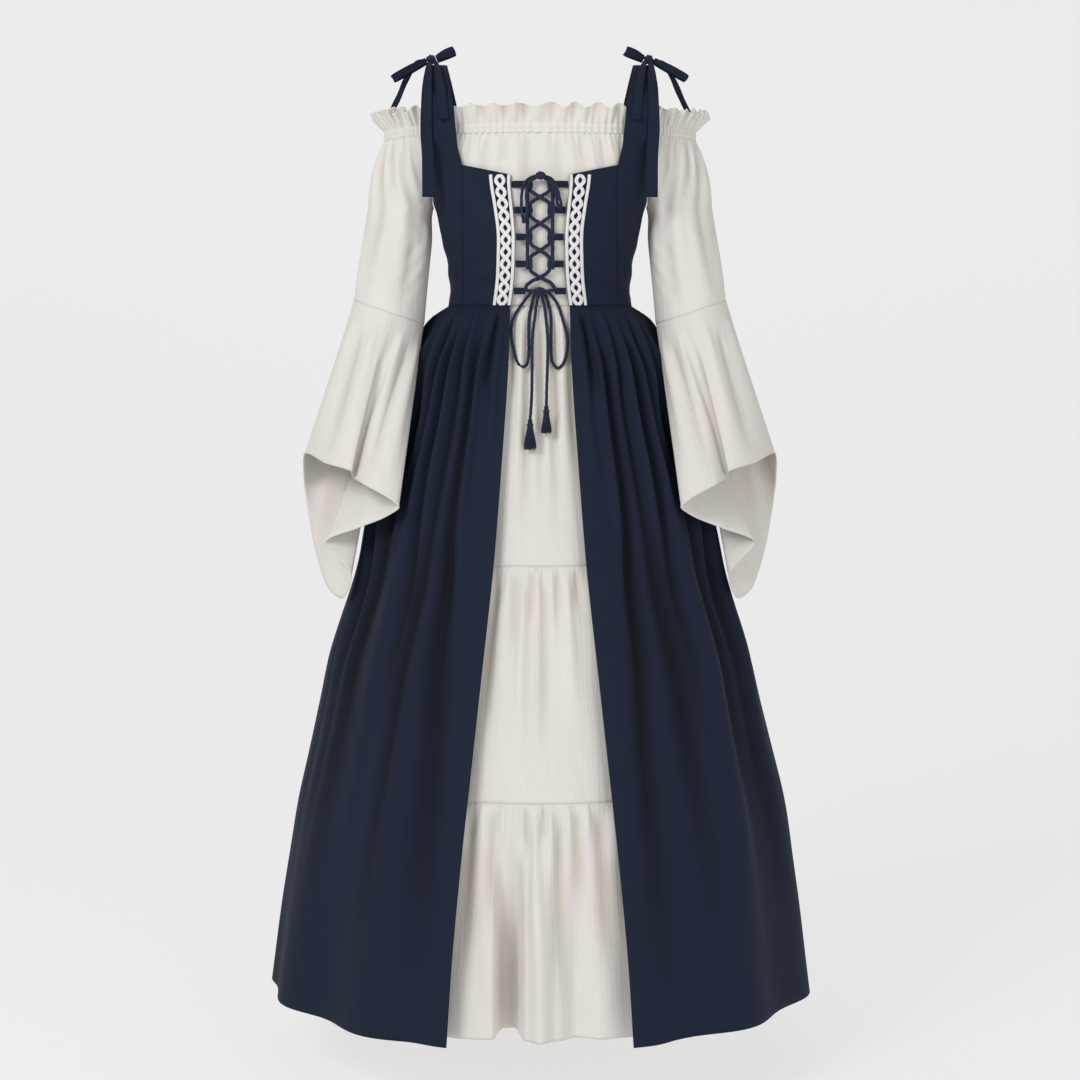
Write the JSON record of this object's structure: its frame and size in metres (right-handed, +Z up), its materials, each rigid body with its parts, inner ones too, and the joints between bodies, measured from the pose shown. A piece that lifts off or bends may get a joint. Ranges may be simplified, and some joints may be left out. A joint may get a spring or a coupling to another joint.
{
  "type": "laced gown",
  "caption": "Long medieval-style gown, hollow as worn: navy laced over-gown with open front, on a cream off-shoulder chemise with bell sleeves and tiered skirt.",
  "frame": {"origin": "midway between the two shoulder straps at their tops, where a wearer's shoulders or a stand hold the gown", "axes": "+Z up, the front of the gown faces -Y, +X towards the wearer's left"},
  "size_m": [0.811, 0.7665, 1.3871],
  "materials": {
    "cream_cloth": "matte plain-weave cotton",
    "navy_cloth": "matte plain-weave cotton",
    "lace_trim": "matte cotton lace",
    "navy_cord": "matte braided cord"
  },
  "bodies": {
    "root": {"neck_ruffle": "cream_cloth", "chemise_front": "cream_cloth", "chemise_back": "cream_cloth", "sleeve_left": "cream_cloth", "sleeve_flounce_left": "cream_cloth", "sleeve_right": "cream_cloth", "sleeve_flounce_right": "cream_cloth", "underskirt_top_front": "cream_cloth", "underskirt_top_back": "cream_cloth", "underskirt_middle_front": "cream_cloth", "underskirt_middle_back": "cream_cloth", "underskirt_base_front": "cream_cloth", "underskirt_base_back": "cream_cloth", "bodice_front_left": "navy_cloth", "bodice_side_left": "navy_cloth", "back_strap_left": "navy_cloth", "overskirt_front_left": "navy_cloth", "lace_trim_left": "lace_trim", "tab_left_1": "navy_cloth", "tab_left_2": "navy_cloth", "tab_left_3": "navy_cloth", "tab_left_4": "navy_cloth", "tab_left_5": "navy_cloth", "lacing_column_left": "navy_cord", "bow_loop_left": "navy_cord", "lace_tail_left": "navy_cord", "tassel_left": "navy_cord", "tie_left_knot": "navy_cloth", "tie_left_loop_in": "navy_cloth", "tie_left_loop_out": "navy_cloth", "tie_left_tail_side": "navy_cloth", "tie_left_tail_long": "navy_cloth", "tie_left_tail_short": "navy_cloth", "bodice_front_right": "navy_cloth", "bodice_side_right": "navy_cloth", "back_strap_right": "navy_cloth", "overskirt_front_right": "navy_cloth", "lace_trim_right": "lace_trim", "tab_right_1": "navy_cloth", "tab_right_2": "navy_cloth", "tab_right_3": "navy_cloth", "tab_right_4": "navy_cloth", "tab_right_5": "navy_cloth", "lacing_column_right": "navy_cord", "bow_loop_right": "navy_cord", "lace_tail_right": "navy_cord", "tassel_right": "navy_cord", "tie_right_knot": "navy_cloth", "tie_right_loop_in": "navy_cloth", "tie_right_loop_out": "navy_cloth", "tie_right_tail_side": "navy_cloth", "tie_right_tail_long": "navy_cloth", "tie_right_tail_short": "navy_cloth", "bodice_back": "navy_cloth", "overskirt_back": "navy_cloth", "lacing_cross_a": "navy_cord", "lacing_cross_b": "navy_cord", "bow_top": "navy_cord", "bow_top_knot": "navy_cord", "bow_knot": "navy_cord"}
  },
  "joints": []
}
